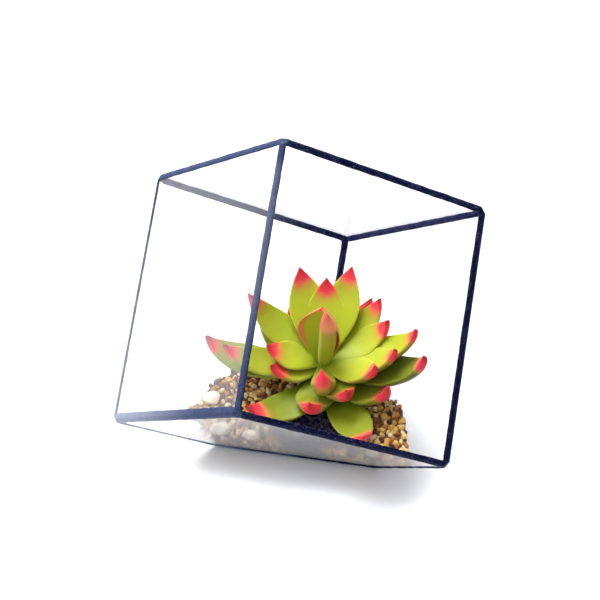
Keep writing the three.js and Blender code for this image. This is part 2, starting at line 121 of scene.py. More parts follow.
class Web:
    """Adds nodes to one node tree and joins them."""

    def __init__(self, tree: bpy.types.NodeTree) -> None:
        """Keeps the tree that the nodes go in."""
        self.tree = tree

    def add(self, kind: str, inputs: dict[Any, Any] | None = None, **settings: Any) -> bpy.types.Node:
        """Adds one node.

        Args:
            kind: The node's type.
            inputs: What goes in each input, by its name or number: a value, or another node's output.
            settings: The node's own settings.

        Returns:
            The new node.
        """
        node = self.tree.nodes.new(kind)
        for name, value in settings.items():
            setattr(node, name, value)
        for key, value in (inputs or {}).items():
            self.feed(node.inputs[key], value)
        return node

    def out(self, kind: str, inputs: dict[Any, Any] | None = None, **settings: Any) -> Socket:
        """Adds one node, as add does, and returns its first output."""
        return self.add(kind, inputs, **settings).outputs[0]

    def feed(self, socket: Socket, value: Any) -> None:
        """Joins an output to a socket, or sets the socket's own value.

        Args:
            socket: The socket.
            value: An output, a number, a vector or an opaque colour.
        """
        if isinstance(value, Socket):
            self.tree.links.new(value, socket)
        else:
            socket.default_value = (*value, 1.0) if socket.type == "RGBA" else value

    def socket(self, label: str, kind: str, way: str = "INPUT") -> Any:
        """Gives the tree itself an input or output of a type, such as Float or Material."""
        return self.tree.interface.new_socket(label, in_out=way, socket_type=f"NodeSocket{kind}")

    def math(self, operation: str, *values: Any, clamp: bool = False) -> Socket:
        """Adds a Math node and returns its output, limited to 0 to 1 where clamp is set."""
        return self.out("ShaderNodeMath", dict(enumerate(values)), operation=operation, use_clamp=clamp)

    def times(self, first: Any, *others: Any, clamp: bool = False) -> Socket:
        """Multiplies values, with each product limited to 0 to 1 where clamp is set."""
        for value in others:
            first = self.math("MULTIPLY", first, value, clamp=clamp)
        return first

    def vector(self, operation: str, *values: Any) -> bpy.types.NodeOutputs:
        """Adds a Vector Math node and returns its outputs, Vector and Value."""
        return self.add("ShaderNodeVectorMath", dict(enumerate(values)), operation=operation).outputs

    def scaled(self, direction: Any, length: Any) -> Socket:
        """Multiplies a vector by a number."""
        return self.out("ShaderNodeVectorMath", {0: direction, "Scale": length}, operation="SCALE")

    def axes(self, vector: Any) -> Iterable[Socket]:
        """Splits a vector into x, y and z."""
        return self.add("ShaderNodeSeparateXYZ", {0: vector}).outputs

    def between(self, value: Any, low: Any, high: Any) -> Socket:
        """Rises smoothly from 0 to 1 while the value goes from low to high."""
        inputs = {"Value": value, "From Min": low, "From Max": high}
        return self.out("ShaderNodeMapRange", inputs, interpolation_type="SMOOTHSTEP")

    def spread(self, value: Any, low: float, high: float) -> Socket:
        """Stretches a value from the range 0 to 1 over the range low to high."""
        return self.out("ShaderNodeMapRange", {"Value": value, "To Min": low, "To Max": high})

    def mix(self, share: Any, first: Any, second: Any, blend: str = "MIX") -> Socket:
        """Mixes two colours."""
        inputs = {"Factor": share, 6: first, 7: second}
        return self.add("ShaderNodeMix", inputs, data_type="RGBA", blend_type=blend).outputs[2]

    def ramp(self, value: Any, stops: Iterable[tuple[float, Colour]]) -> Socket:
        """Turns a value into a colour.

        Args:
            value: The value, from 0 to 1.
            stops: Places along the ramp, with the colour at each.

        Returns:
            The colour output.
        """
        node = self.add("ShaderNodeValToRGB", {"Fac": value})
        elements = node.color_ramp.elements
        for number, (place, colour) in enumerate(stops):
            element = elements[number] if number < 2 else elements.new(place)
            element.position = place
            element.color = (*colour, 1.0)
        return node.outputs["Color"]


class EffectGroup(Web):
    """A shader node group that several finishes use, with named inputs and one output."""

    def __init__(self, name: str, values: dict[str, float]) -> None:
        """Starts a group that takes a Vector and numbers.

        Args:
            name: The group's name.
            values: Its number inputs with their usual values.
        """
        super().__init__(bpy.data.node_groups.new(name, "ShaderNodeTree"))
        self.socket("Vector", "Vector")
        for label, value in values.items():
            self.socket(label, "Float").default_value = value
        self.given = self.add("NodeGroupInput").outputs

    def texture(self, kind: str, scale: Any, **inputs: Any) -> Socket:
        """Adds a texture of a kind on the group's Vector, and returns its first output."""
        place = {"Vector": self.given["Vector"], "Scale": scale}
        return self.out(f"ShaderNodeTex{kind}", place | inputs)

    def give(self, label: str, value: Socket) -> bpy.types.NodeTree:
        """Adds the named output, joins it and returns the finished group."""
        self.socket(label, "Float", "OUTPUT")
        self.add("NodeGroupOutput", {label: value})
        return self.tree


class Effects:
    """The shared groups: Mottle for cloudy patches, and Grain for fine unevenness."""

    finer: float = 3.7
    broad_share: float = 0.65
    pit: Span = (0.05, 0.3)

    def __init__(self) -> None:
        """Builds both groups."""
        self.mottle = self.mottle_group()
        self.grain = self.grain_group()

    def mottle_group(self) -> bpy.types.NodeTree:
        """Makes cloudy patches on two scales.

        Returns:
            A group from Vector, Scale and Contrast to Mask, which lies round 0.5.
        """
        web = EffectGroup("Mottle", {"Scale": 200.0, "Contrast": 1.0})
        scale = web.given["Scale"]
        broad = web.texture("Noise", scale, Detail=3.0)
        small = web.texture("Noise", web.times(scale, self.finer), Detail=2.0)
        both = web.math("ADD", web.times(broad, self.broad_share), web.times(small, 1 - self.broad_share))
        pulled = web.times(web.math("SUBTRACT", both, 0.5), web.given["Contrast"])
        return web.give("Mask", web.math("ADD", pulled, 0.5, clamp=True))

    def grain_group(self) -> bpy.types.NodeTree:
        """Makes fine unevenness for bump, with a few pits.

        Returns:
            A group from Vector, Scale and Pits to Height.
        """
        web = EffectGroup("Grain", {"Scale": 900.0, "Pits": 0.3})
        rough = web.texture("Noise", web.given["Scale"], Detail=4.0)
        cells = web.texture("Voronoi", web.given["Scale"])
        pit = web.math("SUBTRACT", 1.0, web.between(cells, *self.pit))
        return web.give("Height", web.math("SUBTRACT", rough, web.times(pit, web.given["Pits"])))


class Finish(Web):
    """A finish and its material: the nodes, the Principled shader and the coordinates.

    A Pattern is how many patches a metre has, and how strong they are.
    """

    name: str

    def __init__(self, effects: Effects) -> None:
        """Builds the material.

        Args:
            effects: The shared groups.
        """
        self.material = bpy.data.materials.new(self.name)
        self.material.use_nodes = True
        super().__init__(self.material.node_tree)
        self.tree.nodes.clear()
        self.effects = effects
        self.shader = self.add("ShaderNodeBsdfPrincipled")
        self.output = self.add("ShaderNodeOutputMaterial", {"Surface": self.shader.outputs[0]})
        self.place = self.add("ShaderNodeTexCoord").outputs["Object"]
        self.dress()

    def dress(self) -> None:
        """Adds the finish's own nodes."""
        raise NotImplementedError

    def mottle(self, scale: float, contrast: float) -> Socket:
        """Places the Mottle group and returns its mask."""
        inputs = {"Vector": self.place, "Scale": scale, "Contrast": contrast}
        return self.out("ShaderNodeGroup", inputs, node_tree=self.effects.mottle)

    def grain(self, scale: float, pits: float) -> Socket:
        """Places the Grain group and returns its height."""
        inputs = {"Vector": self.place, "Scale": scale, "Pits": pits}
        return self.out("ShaderNodeGroup", inputs, node_tree=self.effects.grain)

    def attribute(self, name: str) -> Socket:
        """Reads a number that the mesh carries."""
        return self.add("ShaderNodeAttribute", attribute_name=name).outputs["Fac"]

    def bump(self, height: Any, depth: float) -> None:
        """Raises the surface by a height map, as far as the depth where the height is 1."""
        self.set(normal=self.out("ShaderNodeBump", {"Height": height, "Distance": depth, "Strength": 1.0}))

    def set(self, **values: Any) -> None:
        """Feeds the shader's inputs, each named in lower case with underscores."""
        names = {socket.name.lower().replace(" ", "_"): socket for socket in self.shader.inputs}
        for name, value in values.items():
            self.feed(names[name], value)


class SolderFinish(Finish):
    """Speckled blue-black patina on solder, with painted reflections where the mesh says so and painted shade
    at the right back.
    """

    name: str = "solder_patina"
    dark: Colour = srgb(3, 9, 52)
    worn: Colour = srgb(42, 52, 98)
    # Painted reflection: slate-blue, on faces turned left.
    faded: Colour = srgb(58, 73, 110)
    # Painted reflection: pale grey, low on the left and faintly high up on the front seam.
    bloom: Colour = srgb(164, 172, 192)
    # Pale specks, partly worn flecks and partly painted glints.
    speck: Colour = srgb(206, 210, 224)
    patches: Pattern = (190.0, 1.8)
    scuffs: Pattern = (950.0, 2.4)
    specks: Pattern = (2100.0, 3.4)
    rubbed: Span = (0.4, 1.0)
    rubbed_scuffs: Span = (0.1, 1.0)
    faded_scuffs: Span = (0.5, 1.3)
    bloomed_scuffs: Span = (0.75, 1.15)
    speckled: Span = (0.8, 1.0)
    speck_share: float = 0.8
    # Painted shade: the wear is held back at the right back of the frame, so the seam there stays dark as if
    # in shade.
    fresh_right: Span = (-4.0 * MM, 6.0 * MM)
    fresh_back: Span = (44.0 * MM, 58.0 * MM)
    fresh_wear: float = 0.12
    roughness: Span = (0.32, 0.55)
    pits: Pattern = (1500.0, 0.5)
    pit_share: float = 0.4
    lump_depth: float = 0.12 * MM

    def dress(self) -> None:
        """Layers wear, painted shade at the right back, two painted reflections and pale specks, partly
        painted glints, on the patina.
        """
        patches = self.mottle(*self.patches)
        scuffs = self.mottle(*self.scuffs)
        x, y, _ = self.axes(self.place)
        # Painted shade at the right back: the wear fades out there.
        fresh = self.times(self.between(x, *self.fresh_right), self.between(y, *self.fresh_back))
        rubbed = self.times(self.between(patches, *self.rubbed), self.spread(scuffs, *self.rubbed_scuffs))
        worn = self.times(rubbed, self.spread(fresh, 1.0, self.fresh_wear))
        # Painted reflections: slate-blue where the mesh marks faces turned left, pale grey low on the left.
        faded = self.times(self.attribute("faded"), self.spread(scuffs, *self.faded_scuffs), clamp=True)
        bloomed = self.times(self.attribute("bloom"), self.spread(scuffs, *self.bloomed_scuffs), clamp=True)
        # Pale specks, partly painted glints.
        dots = self.between(self.mottle(*self.specks), *self.speckled)
        specks = self.times(dots, self.spread(patches, 0.0, self.speck_share))
        patina = self.mix(faded, self.mix(worn, self.dark, self.worn), self.faded)
        self.set(
            base_color=self.mix(specks, self.mix(bloomed, patina, self.bloom), self.speck),
            metallic=0.0,
            roughness=self.spread(scuffs, *self.roughness),
            specular_ior_level=0.05,
        )
        self.bump(self.math("MULTIPLY_ADD", self.grain(*self.pits), self.pit_share, patches), self.lump_depth)


class GlassFinish(Finish):
    """Clear sheet glass with faint smears."""

    name: str = "sheet_glass"
    tint: Colour = (0.985, 0.99, 0.99)
    shadow: Colour = (0.97, 0.98, 0.98)
    smears: Pattern = (55.0, 2.0)
    smeared: Span = (0.55, 0.95)
    roughness: Span = (0.0, 0.06)

    def dress(self) -> None:
        """Makes smeared glass that lets the lamp's light through."""
        smears = self.between(self.mottle(*self.smears), *self.smeared)
        self.set(
            base_color=self.tint,
            metallic=0.0,
            transmission_weight=1.0,
            ior=1.4,
            roughness=self.spread(smears, *self.roughness),
        )
        clear = self.out("ShaderNodeBsdfTransparent", {"Color": self.shadow})
        lamp = self.add("ShaderNodeLightPath").outputs["Is Shadow Ray"]
        mixed = self.out("ShaderNodeMixShader", {0: lamp, 1: self.shader.outputs[0], 2: clear})
        self.feed(self.output.inputs["Surface"], mixed)


class GritFinish(Finish):
    """Loose grit, every grain in its own brown or ochre, with painted shade round the stem and paler at the
    left end.
    """

    name: str = "grit_grain"
    specks: Pattern = (1400.0, 2.4)
    streak: Colour = srgb(92, 52, 28)
    streak_shares: Span = (0.55, 0.5)
    roughness: Span = (0.42, 0.78)
    pits: Pattern = (2200.0, 0.4)
    pit_depth: float = 0.12 * MM
    # Painted shade: a dark navy patch round the stem, where the grit lies in shadow under the leaves.
    damp: Colour = srgb(27, 31, 78)
    damp_centre: Place = (8.0 * MM, -23.0 * MM, 20.0 * MM)
    damp_reach: Span = (21.0 * MM, 14.0 * MM)
    damp_share: float = 0.95
    soaked: float = 0.8
    # Paler towards the left end.
    dust: Colour = srgb(246, 240, 226)
    dust_reach: Span = (-44.0 * MM, -54.0 * MM)
    dust_share: float = 0.85
    grains: tuple[tuple[float, Colour], ...] = (
        (0.0, srgb(44, 22, 36)),
        (0.15, srgb(100, 46, 40)),
        (0.26, srgb(156, 90, 50)),
        (0.42, srgb(218, 160, 76)),
        (0.64, srgb(240, 196, 106)),
        (0.84, srgb(250, 222, 154)),
        (1.0, srgb(255, 244, 210)),
    )

    def dress(self) -> None:
        """Gives each grain its colour and streaks."""
        base = self.ramp(self.attribute("tint"), self.grains)
        speckle = self.mottle(*self.specks)
        streak = self.mix(self.streak_shares[1], base, self.streak)
        streaked = self.mix(self.spread(speckle, 0.0, self.streak_shares[0]), base, streak)
        self.set(
            base_color=self.damped(streaked),
            roughness=self.spread(speckle, *self.roughness),
            specular_ior_level=0.45,
        )
        self.bump(self.grain(*self.pits), self.pit_depth)

    def damped(self, colour: Socket) -> Socket:
        """Paints shade on a colour round the stem and pales it towards the left end.

        Args:
            colour: The grit's own colour.

        Returns:
            The colour with the painted shade and the paler left end in it.
        """
        x, _, _ = self.axes(self.place)
        # Paler towards the left end.
        dusty = self.times(self.between(x, *self.dust_reach), self.dust_share)
        colour = self.mix(dusty, colour, self.dust)
        # Painted shade round the stem.
        away = self.vector("DISTANCE", self.place, self.damp_centre)["Value"]
        wet = self.mix(self.soaked, self.mix(1.0, colour, self.damp, "MULTIPLY"), self.damp)
        return self.mix(self.times(self.between(away, *self.damp_reach), self.damp_share), colour, wet)


class FinesFinish(GritFinish):
    """The dark fines between the grains, with the same painted shade round the stem and the same paler left
    end.
    """

    name: str = "grit_fines"
    specks: Pattern = (1400.0, 2.0)
    low: Colour = srgb(60, 38, 32)
    high: Colour = srgb(158, 114, 68)
    pits: Pattern = (1800.0, 0.6)
    pit_depth: float = 0.4 * MM

    def dress(self) -> None:
        """Shades the fines from dark to light."""
        fines = self.mix(self.mottle(*self.specks), self.low, self.high)
        self.set(base_color=self.damped(fines), roughness=0.95)
        self.bump(self.grain(*self.pits), self.pit_depth)


class PebbleFinish(Finish):
    """Smooth cream-white pebble with faint warm veins."""

    name: str = "white_pebble"
    body: Colour = srgb(250, 240, 220)
    vein: Colour = srgb(218, 196, 162)
    clouds: Pattern = (150.0, 2.4)
    fine: Pattern = (900.0, 2.0)
    veined: Span = (0.5, 0.9)
    broken: Span = (0.3, 1.0)
    roughness: Span = (0.38, 0.6)
    pits: Pattern = (1300.0, 0.5)
    pit_depth: float = 0.08 * MM

    def dress(self) -> None:
        """Draws the veins and lets light in a little way."""
        fine = self.mottle(*self.fine)
        veins = self.between(self.mottle(*self.clouds), *self.veined)
        self.set(
            base_color=self.mix(self.times(veins, self.spread(fine, *self.broken)), self.body, self.vein),
            roughness=self.spread(fine, *self.roughness),
            subsurface_weight=0.15,
            subsurface_radius=(0.9, 0.7, 0.5),
            subsurface_scale=2.0 * MM,
        )
        self.bump(self.grain(*self.pits), self.pit_depth)


class LeafFinish(Finish):
    """Fleshy yellow-green leaf whose last few millimetres blush through orange to red.

    The mesh says how far each place lies from the leaf's tip, how far along and across the leaf it is,
    whether on the upper side, how deep its painted shade is, how much it belongs to the bud and how brown its
    margins are. Lengths are in millimetres but for pit_depth, and the other ranges are shares of the leaf.
    """

    name: str = "leaf_skin"
    span: float = 24.0
    waver: float = 3.0
    bared: Span = (7.0, 12.0)
    clouds: Pattern = (110.0, 2.0)
    # The leaf's own whitish bloom, in cloudy patches.
    bloom: Colour = srgb(204, 214, 100)
    bloom_share: float = 0.06
    rim: Colour = srgb(222, 222, 110)
    rim_reach: Span = (0.93, 1.0)
    rim_share: float = 0.45
    # Painted shade: darker at the leaf's root and on its underside, kept off the red tip.
    shade: Colour = srgb(84, 108, 0)
    root_reach: Span = (0.5, 0.05)
    root_share: float = 0.2
    under_reach: Span = (0.1, -0.5)
    under_share: float = 0.45
    margin: Colour = srgb(214, 124, 70)
    margin_reach: Span = (0.68, 0.88)
    margin_start: Span = (0.2, 0.4)
    # Painted shade: the colour that the lower whorls are dimmed toward, as if shaded by the leaves above.
    dull: Colour = srgb(142, 152, 84)
    roughness: Span = (0.34, 0.5)
    pits: Pattern = (1600.0, 0.4)
    pit_share: float = 0.25
    pit_depth: float = 0.12 * MM
    skin: tuple[tuple[float, Colour], ...] = (
        (0.0, srgb(176, 4, 42)),
        (0.12, srgb(224, 18, 58)),
        (0.26, srgb(240, 48, 80)),
        (0.33, srgb(226, 104, 76)),
        (0.41, srgb(194, 156, 50)),
        (0.56, srgb(176, 184, 34)),
        (1.0, srgb(168, 180, 20)),
    )
    bud_skin: tuple[tuple[float, Colour], ...] = (
        (0.0, srgb(214, 86, 62)),
        (0.16, srgb(228, 124, 92)),
        (0.38, srgb(230, 142, 96)),
        (0.5, srgb(196, 172, 52)),
        (1.0, srgb(174, 186, 14)),
    )

    def dress(self) -> None:
        """Colours the leaf from tip to root, paints shade on its root, its underside and its lower whorls,
        then pales and browns its margins.
        """
        cloud = self.mottle(*self.clouds)
        along, across, side, tone = map(self.attribute, ("along", "across", "side", "tone"))
        off_middle = self.math("ABSOLUTE", across)
        wavering = self.math("SUBTRACT", cloud, 0.5)
        reach = self.math("MULTIPLY_ADD", wavering, self.waver, self.attribute("reach"))
        place = self.math("DIVIDE", reach, self.span)
        skin = self.mix(self.attribute("bud"), self.ramp(place, self.skin), self.ramp(place, self.bud_skin))
        bared = self.between(reach, *self.bared)
        # Painted shade at the root, deeper on more shaded whorls, and on the underside.
        deep = self.math("MULTIPLY_ADD", tone, 1 - self.root_share, self.root_share, clamp=True)
        root = self.times(self.between(along, *self.root_reach), deep)
        under = self.times(self.between(side, *self.under_reach), self.under_share)
        shaded = self.mix(self.times(self.math("MAXIMUM", root, under), bared), skin, self.shade)
        edge = self.times(self.between(off_middle, *self.rim_reach), bared, self.rim_share)
        brown = self.times(self.between(off_middle, *self.margin_reach), self.attribute("margin"))
        browned = self.times(brown, self.between(along, *self.margin_start))
        edged = self.mix(browned, self.mix(edge, shaded, self.rim), self.margin)
        # Painted shade: each whorl darkened by its shade depth, as if shaded by the leaves above.
        dulled = self.mix(1.0, edged, self.dull, "MULTIPLY")
        toned = self.mix(self.times(tone, bared, clamp=True), edged, dulled)
        self.set(
            base_color=self.mix(self.spread(cloud, 0.0, self.bloom_share), toned, self.bloom),
            roughness=self.spread(cloud, *self.roughness),
            subsurface_weight=0.12,
            subsurface_radius=(1.0, 0.8, 0.25),
            subsurface_scale=2.0 * MM,
            specular_ior_level=0.32,
            sheen_weight=0.04,
        )
        self.bump(self.math("MULTIPLY_ADD", self.grain(*self.pits), self.pit_share, cloud), self.pit_depth)


class FloorFinish(Finish):
    """Plain pale table top."""

    name: str = "pale_table"
    colour: Colour = (0.93, 0.935, 0.975)

    def dress(self) -> None:
        """Sets the plain colour."""
        self.set(base_color=self.colour, roughness=0.7, specular_ior_level=0.2)


class Finishes:
    """Every finish of the terrarium, built once."""

    def __init__(self) -> None:
        """Builds the materials."""
        effects = Effects()
        self.solder = SolderFinish(effects).material
        self.glass = GlassFinish(effects).material
        self.grit = GritFinish(effects).material
        self.fines = FinesFinish(effects).material
        self.pebble = PebbleFinish(effects).material
        self.leaf = LeafFinish(effects).material
        self.floor = FloorFinish(effects).material


class NodeModifier(Web):
    """A Geometry Nodes tree with named inputs, and the plain mesh that it makes."""

    kinds: dict[type, str] = {float: "Float", int: "Int", tuple: "Vector", bpy.types.Material: "Material"}

    def __init__(self, name: str, sizes: Any, **finishes: bpy.types.Material) -> None:
        """Starts a tree that takes and gives geometry.

        Args:
            name: The tree's name.
            sizes: A dataclass whose every field becomes an input: lump_height becomes Lump Height.
            finishes: The inputs for finishes.
        """
        super().__init__(bpy.data.node_groups.new(name, "GeometryNodeTree"))
        self.socket("Geometry", "Geometry")
        self.socket("Geometry", "Geometry", "OUTPUT")
        self.values: dict[str, Any] = {}
        for field, value in (vars(sizes) | finishes).items():
            label = field.replace("_", " ").title()
            self.values[self.socket(label, self.kinds[type(value)]).identifier] = value
        self.given = self.add("NodeGroupInput").outputs

    def draw(self, low: Any, high: Any, stream: int) -> Socket:
        """Adds a random number or vector.

        Args:
            low: The lowest value, a tuple for a vector.
            high: The highest value.
            stream: What is added to the tree's seed.

        Returns:
            The random value.
        """
        kind = "FLOAT_VECTOR" if isinstance(low, tuple) else "FLOAT"
        node = self.add("FunctionNodeRandomValue", data_type=kind)
        enabled = [socket for socket in node.inputs if socket.enabled]
        self.feed(enabled[0], low)
        self.feed(enabled[1], high)
        self.feed(node.inputs["Seed"], self.math("ADD", self.given["Seed"], float(stream)))
        return next(socket for socket in node.outputs if socket.enabled)

    def moved(self, geometry: Socket, offset: Socket) -> Socket:
        """Moves a geometry's points by an offset."""
        return self.out("GeometryNodeSetPosition", {"Geometry": geometry, "Offset": offset})

    def shaded(self, geometry: Socket, smooth: bool) -> Socket:
        """Shades a geometry smooth or flat."""
        return self.out("GeometryNodeSetShadeSmooth", {"Geometry": geometry, "Shade Smooth": smooth})

    def marked(self, geometry: Socket, name: str, value: Socket, domain: str = "POINT") -> Socket:
        """Stores a number on a geometry under a name that a finish reads."""
        inputs = {"Geometry": geometry, "Name": name, "Value": value}
        return self.out("GeometryNodeStoreNamedAttribute", inputs, data_type="FLOAT", domain=domain)

    def dressed(self, geometry: Socket, finish: str) -> Socket:
        """Gives a geometry the finish from one of the inputs."""
        return self.out("GeometryNodeSetMaterial", {"Geometry": geometry, "Material": self.given[finish]})

    def run(self, piece: Piece) -> None:
        """Runs the tree on a piece and keeps the result as its plain mesh.

        Args:
            piece: The piece, whose mesh is replaced.
        """
        modifier = piece.modifiers.new(self.tree.name, "NODES")
        modifier.node_group = self.tree
        for identifier, value in self.values.items():
            modifier[identifier] = value
        bake_modifiers(piece)


def bake_modifiers(piece: Piece) -> None:
    """Turns a piece and its modifiers into a plain mesh.

    Args:
        piece: The piece.
    """
    bpy.context.view_layer.update()
    graph = bpy.context.evaluated_depsgraph_get()
    shaped = piece.evaluated_get(graph)
    mesh = bpy.data.meshes.new_from_object(shaped, preserve_all_data_layers=True, depsgraph=graph)
    piece.modifiers.clear()
    old = piece.data
    piece.data = mesh
    mesh.name = piece.name
    bpy.data.meshes.remove(old)


def new_piece(name: str, data: bpy.types.ID) -> Piece:
    """Puts a mesh, a camera or a lamp in the scene as an object of its own, at the origin."""
    piece = bpy.data.objects.new(name, data)
    bpy.context.scene.collection.objects.link(piece)
    return piece


def solid_of(node: Piece, grow: float = 0.0) -> bmesh.types.BMesh:
    """Copies a frame node as a closed mesh.

    Args:
        node: The node's object.
        grow: How far to move every face out.

    Returns:
        The copy, which mesh_of frees.
    """
    solid = bmesh.new()
    solid.from_mesh(node.data)
    bmesh.ops.remove_doubles(solid, verts=solid.verts, dist=1e-6)
    bmesh.ops.dissolve_limit(solid, angle_limit=math.radians(0.5), verts=solid.verts, edges=solid.edges)
    bmesh.ops.recalc_face_normals(solid, faces=solid.faces)
    if grow:
        solid.normal_update()
        moves = [(vert, vert.normal * grow * vert.calc_shell_factor()) for vert in solid.verts]
        for vert, move in moves:
            vert.co += move
    return solid


def mesh_of(solid: bmesh.types.BMesh, name: str) -> bpy.types.Mesh:
    """Turns a solid into a mesh and frees the solid."""
    mesh = bpy.data.meshes.new(name)
    solid.to_mesh(mesh)
    solid.free()
    return mesh


def broad_side(solid: bmesh.types.BMesh) -> Vector:
    """Finds the direction that a solid's largest face looks in."""
    return max(solid.faces, key=lambda face: face.calc_area()).normal.copy()


def places_of(mesh: bpy.types.Mesh) -> Rows:
    """Reads a mesh's points as rows of x, y and z."""
    places = np.empty(3 * len(mesh.vertices))
    mesh.vertices.foreach_get("co", places)
    return places.reshape(-1, 3)


def put_places(mesh: bpy.types.Mesh, places: Rows) -> None:
    """Writes a mesh's points."""
    mesh.vertices.foreach_set("co", places.ravel())
    mesh.update()


def declare(piece: Piece, slot: Slot, *nodes: str) -> None:
    """Hands a finished piece to the frame.

    Args:
        piece: The piece.
        slot: The record's slot that its finish stands for. It is not used.
        nodes: The frame's nodes that it stands for.
    """
    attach(piece, ROOT)
    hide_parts(*nodes)
    log.info("%s: %d faces for %s", piece.name, len(piece.data.polygons), ", ".join(nodes))


@dataclass
class Assembly:
    """A part of the terrarium, built round the frame's nodes."""

    nodes: dict[str, Piece]
    finishes: Finishes

    def named(self, start: str) -> list[str]:
        """Lists the nodes whose names start so."""
        return sorted(name for name in self.nodes if name.startswith(start))


@dataclass(frozen=True)
class BeadSizes:
    """The inputs of the solder bead's tree: its lumps, and where its two painted reflections lie."""

    lump_height: float = 0.3 * MM
    lump_scale: float = 190.0
    seed: float = 3.0
    # Where a slate-blue painted reflection lies: on faces turned this way, at the front and the left.
    faded_side: Place = (-0.707, -0.389, 0.59)
    faded_edge: float = 6.0 * MM
    faded_back: float = 64.0 * MM
    back_fading: float = 0.4
    # Where a pale grey painted reflection lies: low on the left, and faintly high up on the front seam.
    bloom_right: float = -15.0 * MM
    bloom_left: float = -62.0 * MM
    bloom_top: float = 99.0 * MM
    bloom_foot: float = 30.0 * MM
    ridge_bloom: float = 0.2
    ridge_foot: float = 105.0 * MM
    ridge_half: float = 6.0 * MM


@dataclass
class Case(Assembly):
    """The soldered glass case."""

    limits: tuple[Vector, Vector]
    sizes: BeadSizes = BeadSizes()
    voxel: float = 0.5 * MM
    solder_growth: float = 0.15 * MM
    smoothing: int = 2
    # How the masks of the painted reflections fall off.
    facing: Span = (-0.4, 0.5)
    front_share: float = 0.7
    off_shares: Span = (-1.0, -3.0)
    ridge_shares: Span = (1.5, 1.25)
    glass_overlap: float = 0.75 * MM

    def build(self) -> None:
        """Builds the solder and every pane."""
        self.solder()
        for name in self.named("pane_"):
            self.pane(name)

    def solder(self) -> None:
        """Runs the seams together into one soldered frame with a lumpy bead."""
        names = self.named("seam_")
        joined = bmesh.new()
        for name in names:
            part = mesh_of(solid_of(self.nodes[name], self.solder_growth), "seam")
            joined.from_mesh(part)
            bpy.data.meshes.remove(part)
        piece = new_piece("solder_frame", mesh_of(joined, "solder_frame"))
        remesh = piece.modifiers.new("run together", "REMESH")
        remesh.mode = "VOXEL"
        remesh.voxel_size = self.voxel
        smooth = piece.modifiers.new("soften", "SMOOTH")
        smooth.factor = 0.5
        smooth.iterations = self.smoothing
        bake_modifiers(piece)
        self.bead().run(piece)
        places = places_of(piece.data)
        put_places(piece.data, np.clip(places, *(np.array(corner) for corner in self.limits)))
        declare(piece, Slot.SOLDER, *names)

    def bead(self) -> NodeModifier:
        """Makes the tree that leaves a bead of solder slightly uneven.

        Returns:
            The tree, with an input for each of the sizes and for the finish.
        """
        tree = NodeModifier("Solder bead", self.sizes, solder=self.finishes.solder)
        given = tree.given
        inputs = {"Scale": given["Lump Scale"], "W": given["Seed"], "Detail": 2.0}
        ripple = tree.out("ShaderNodeTexNoise", inputs, noise_dimensions="4D")
        height = tree.times(tree.math("SUBTRACT", ripple, 0.5), given["Lump Height"], 2.0)
        lumpy = tree.moved(given["Geometry"], tree.scaled(tree.out("GeometryNodeInputNormal"), height))
        # Marks both painted reflections on the mesh for the finish.
        faded = tree.marked(tree.shaded(lumpy, True), "faded", self.faded(tree))
        bloomed = tree.marked(faded, "bloom", self.bloomed(tree))
        real = tree.out("GeometryNodeRealizeInstances", {"Geometry": bloomed})
        tree.add("NodeGroupOutput", {"Geometry": tree.dressed(real, "Solder")})
        return tree

    def faded(self, tree: NodeModifier) -> Socket:
        """Works out where a slate-blue painted reflection lightens the solder: on what faces left, and less
        so far back.

        Args:
            tree: The bead's tree.

        Returns:
            How much of this painted reflection each point has, from 0 to 1.
        """
        given = tree.given
        edge, back = given["Faded Edge"], given["Faded Back"]
        x, y, _ = tree.axes(tree.out("GeometryNodeInputPosition"))
        facing = tree.vector("DOT_PRODUCT", tree.out("GeometryNodeInputNormal"), given["Faded Side"])["Value"]
        front = tree.between(y, back, tree.times(back, self.front_share))
        off = tree.between(x, *(tree.times(edge, share) for share in self.off_shares))
        reach = tree.math("MAXIMUM", front, tree.times(off, given["Back Fading"]))
        return tree.times(tree.between(facing, *self.facing), tree.between(x, edge, 0.0), reach)

    def bloomed(self, tree: NodeModifier) -> Socket:
        """Works out where a pale grey painted reflection lies on the solder: low on the left, and faintly
        high up on the front seam.

        Args:
            tree: The bead's tree.

        Returns:
            How much of it each point has, from 0 to 1.
        """
        given = tree.given
        half, foot = given["Ridge Half"], given["Ridge Foot"]
        wide, tall = self.ridge_shares
        x, y, z = tree.axes(tree.out("GeometryNodeInputPosition"))
        inputs = {"Value": z, "From Min": given["Bloom Top"], "From Max": given["Bloom Foot"]}
        low = tree.out("ShaderNodeMapRange", inputs)
        bloom = tree.times(tree.between(x, given["Bloom Right"], given["Bloom Left"]), low)
        ridge = tree.between(tree.math("ABSOLUTE", x), tree.times(half, wide), half)
        ahead = tree.between(y, 0.0, tree.times(half, -1.0))
        high = tree.between(z, foot, tree.times(foot, tall))
        return tree.math("ADD", bloom, tree.times(ridge, ahead, high, given["Ridge Bloom"]))

    def pane(self, name: str) -> None:
        """Builds one pane, whose edges reach in under the solder.

        Args:
            name: The pane's node.
        """
        glass = solid_of(self.nodes[name])
        centre = sum((vert.co for vert in glass.verts), Vector()) / len(glass.verts)
        across = broad_side(glass)
        for vert in glass.verts:
            arm = vert.co - centre
            arm -= arm.dot(across) * across
            vert.co += arm.normalized() * self.glass_overlap
        mesh = mesh_of(glass, f"glass_{name}")
        mesh.shade_flat()
        mesh.materials.append(self.finishes.glass)
        declare(new_piece(f"glass_{name}", mesh), Slot.GLASS, name)


@dataclass(frozen=True)
class GritSizes:
    """The inputs of the grit's tree: how close and how large the grains are, and their seed."""

    spacing: float = 1.7 * MM
    length: float = 1.7 * MM
    width: float = 1.25 * MM
    height: float = 1.2 * MM
    roughness: float = 1.7 * MM
    core_depth: float = 1.3 * MM
    seed: int = 7


